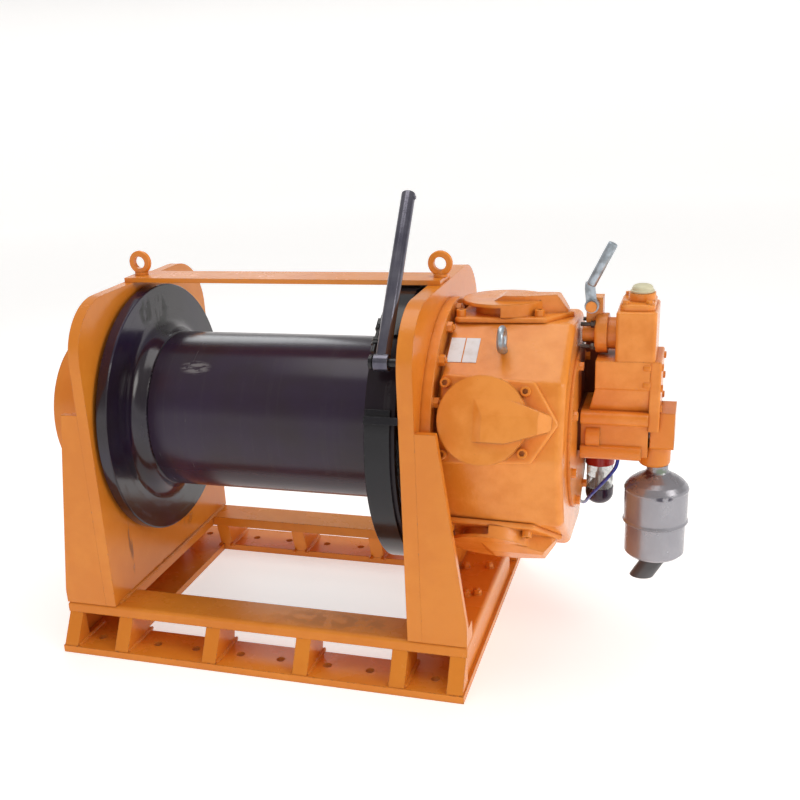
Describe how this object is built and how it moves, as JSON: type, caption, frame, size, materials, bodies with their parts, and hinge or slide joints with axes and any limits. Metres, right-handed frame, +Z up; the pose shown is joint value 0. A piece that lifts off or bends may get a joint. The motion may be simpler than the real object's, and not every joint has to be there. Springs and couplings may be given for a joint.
{
  "type": "air-driven mooring winch",
  "caption": "Air-driven drum winch on a welded skid, with hand band brake, radial piston motor, throttle lever and silencer",
  "frame": {"origin": "centre of the base's underside, midway between the hold-down holes", "axes": "+X along the drum towards the motor, -Y the operator's side, +Z up"},
  "size_m": [1.667, 0.81, 1.1711],
  "materials": {
    "orange_paint": "gloss paint over weldments and rough castings",
    "drum_paint": "gloss black paint, scuffed at the rope flange",
    "brake_black": "semi-gloss black paint",
    "zinc_steel": "zinc plated",
    "silencer_paint": "silver-grey paint",
    "red_collar": "glossy red",
    "clear_bowl": "clear moulded bowl",
    "dark_bowl": "glossy dark blue-black",
    "blue_hose": "polyurethane tube",
    "plate_white": "blank printed plate"
  },
  "bodies": {
    "frame": {"air_hose": "blue_hose", "air_inlet": "orange_paint", "base_deck_frame": "orange_paint", "base_front_ribs": "orange_paint", "base_rear_ribs": "orange_paint", "base_side_webs": "orange_paint", "base_sole_frame": "orange_paint", "brake_adjuster": "brake_black", "brake_band": "brake_black", "brake_band_lugs": "brake_black", "brake_pivot_pin": "brake_black", "cylinder_head_1": "orange_paint", "cylinder_head_2": "orange_paint", "cylinder_head_3": "orange_paint", "cylinder_head_4": "orange_paint", "cylinder_head_5": "orange_paint", "data_plate": "plate_white", "exhaust_elbow": "orange_paint", "gearbox_cover": "orange_paint", "gearbox_housing": "orange_paint", "hose_fittings": "zinc_steel", "left_lifting_eye": "orange_paint", "left_shaft_bearing": "brake_black", "left_stand_legs": "orange_paint", "left_stand_plate": "orange_paint", "lubricator_bowl": "clear_bowl", "lubricator_collar": "red_collar", "lubricator_head": "red_collar", "lubricator_sump": "dark_bowl", "motor_adapter_ring": "orange_paint", "motor_case": "orange_paint", "motor_end_cover": "orange_paint", "motor_lifting_eye": "zinc_steel", "motor_neck": "orange_paint", "muffler_can": "silencer_paint", "muffler_tail": "silencer_paint", "right_lifting_eye": "orange_paint", "right_shaft_bearing": "brake_black", "right_stand_legs": "orange_paint", "right_stand_plate": "orange_paint", "throttle_bracket": "orange_paint", "tie_bar": "orange_paint", "valve_chest": "orange_paint", "valve_head": "orange_paint", "valve_lid": "orange_paint", "valve_manifold": "orange_paint", "valve_neck": "orange_paint", "valve_side_cover": "orange_paint", "valve_spindle_housing": "orange_paint"},
    "drum": {"drum_barrel": "drum_paint", "drum_flange": "drum_paint", "drum_brake_rim": "drum_paint", "drum_shaft": "drum_paint"},
    "brake_lever": {"brake_lever": "brake_black"},
    "throttle_lever": {"throttle_lever": "zinc_steel"}
  },
  "joints": [
    {"name": "drum_spin", "type": "hinge", "parent": "frame", "child": "drum", "pos_m": [0, 0, 0.58], "axis": [1, 0, 0], "continuous": true},
    {"name": "brake_lever_swing", "type": "hinge", "parent": "frame", "child": "brake_lever", "pos_m": [0.364, -0.318, 0.822], "axis": [1, 0, 0], "range_deg": [-8, 25]},
    {"name": "throttle_swing", "type": "hinge", "parent": "frame", "child": "throttle_lever", "pos_m": [0.798, -0.023, 0.893], "axis": [0, 1, 0], "range_deg": [-20, 20], "stiffness_Nm_per_rad": 4}
  ]
}
